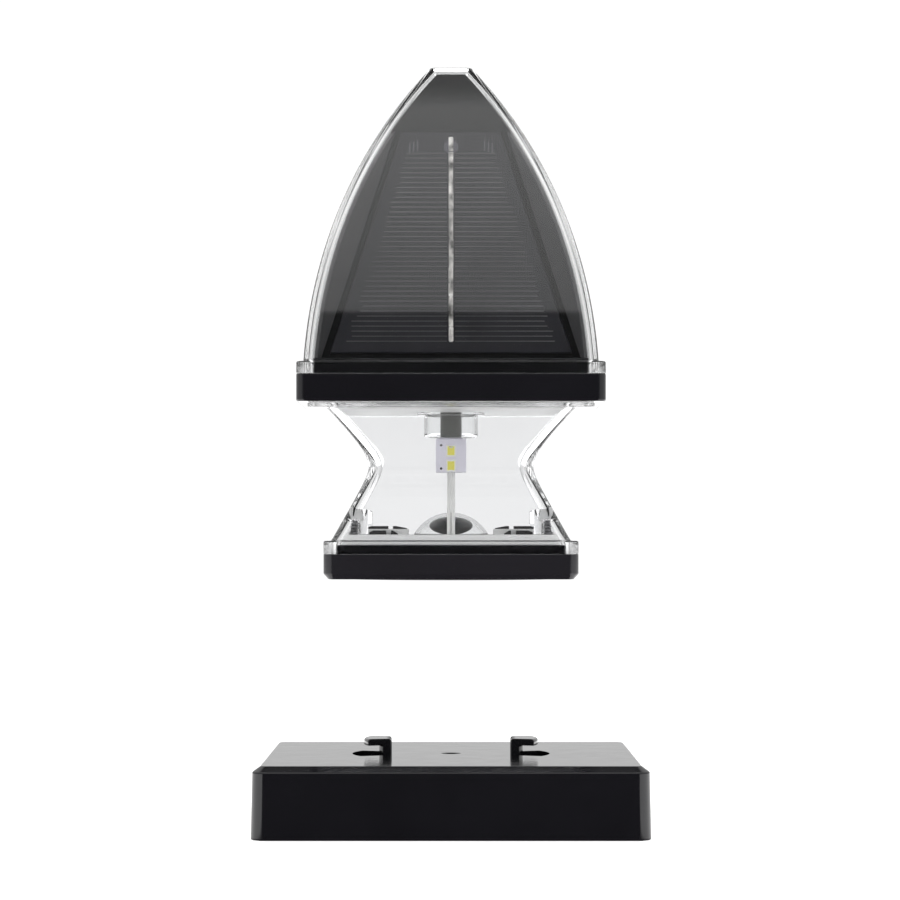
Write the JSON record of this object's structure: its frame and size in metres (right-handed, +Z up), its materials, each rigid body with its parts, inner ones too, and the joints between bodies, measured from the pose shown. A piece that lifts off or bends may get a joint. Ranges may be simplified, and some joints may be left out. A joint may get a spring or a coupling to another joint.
{
  "type": "solar fence post cap light",
  "caption": "Solar light for a square fence post: clear pointed dome over solar cells, clear hourglass lantern with an LED column, square base that locks onto a hooked post cap.",
  "frame": {"origin": "middle of the post cap's lower rim, on the post's axis", "axes": "+Z up along the post, front towards -Y, the two hooks on the X axis"},
  "size_m": [0.111, 0.111, 0.22],
  "materials": {
    "black_plastic": "moulded, satin, fine grain",
    "clear_plastic": "clear moulded polycarbonate",
    "white_plastic": "moulded white",
    "black_rubber": "moulded silicone",
    "screw_steel": "blackened steel",
    "switch_black": "moulded, glossy",
    "white_wire": "insulated wire",
    "red_wire": "insulated wire",
    "led_board": "white solder mask",
    "led_phosphor": "yellow phosphor",
    "grey_plastic": "moulded grey",
    "solar_cell": "laminated cell under epoxy",
    "bus_silver": "tinned ribbon",
    "green_board": "green solder mask",
    "component_black": "moulded epoxy",
    "battery_wrap": "shrink wrap",
    "contact_metal": "nickel-plated spring steel"
  },
  "bodies": {
    "cap": {"post_cap": "black_plastic"},
    "seal": {"seal_ring": "black_rubber"},
    "head": {"base_plate": "black_plastic", "base_gasket": "black_rubber", "waist": "clear_plastic", "waist_screws": "screw_steel", "floor_reflector": "white_plastic", "switch_body": "switch_black", "switch_dome": "clear_plastic", "switch_wires": "white_wire", "led_core": "led_board", "led_boards": "led_board", "leds": "led_phosphor", "led_post": "grey_plastic", "led_holder": "clear_plastic", "led_wires": "red_wire", "ceiling_reflector": "white_plastic", "collar": "black_plastic", "dome_seal": "black_rubber", "dome": "clear_plastic", "panel_carrier": "black_plastic", "carrier_screws": "screw_steel", "solar_panel_front": "solar_cell", "solar_panel_right": "solar_cell", "solar_panel_back": "solar_cell", "solar_panel_left": "solar_cell", "bus_bars": "bus_silver", "control_board": "green_board", "board_components": "component_black", "battery": "battery_wrap", "battery_holder": "black_plastic", "battery_contacts": "contact_metal"},
    "button": {"switch_button": "black_rubber"}
  },
  "joints": [
    {"name": "head_lift", "type": "slide", "parent": "cap", "child": "seal", "axis": [0, 0, 1], "range_m": [-0.051, 0]},
    {"name": "head_twist", "type": "hinge", "parent": "seal", "child": "head", "pos_m": [0, 0, 0.0714], "axis": [0, 0, 1], "range_deg": [-90, 0]},
    {"name": "switch_press", "type": "slide", "parent": "head", "child": "button", "axis": [0, 0, 1], "range_m": [0, 0.0012], "stiffness_N_per_m": 500, "springref_m": -0.001}
  ]
}
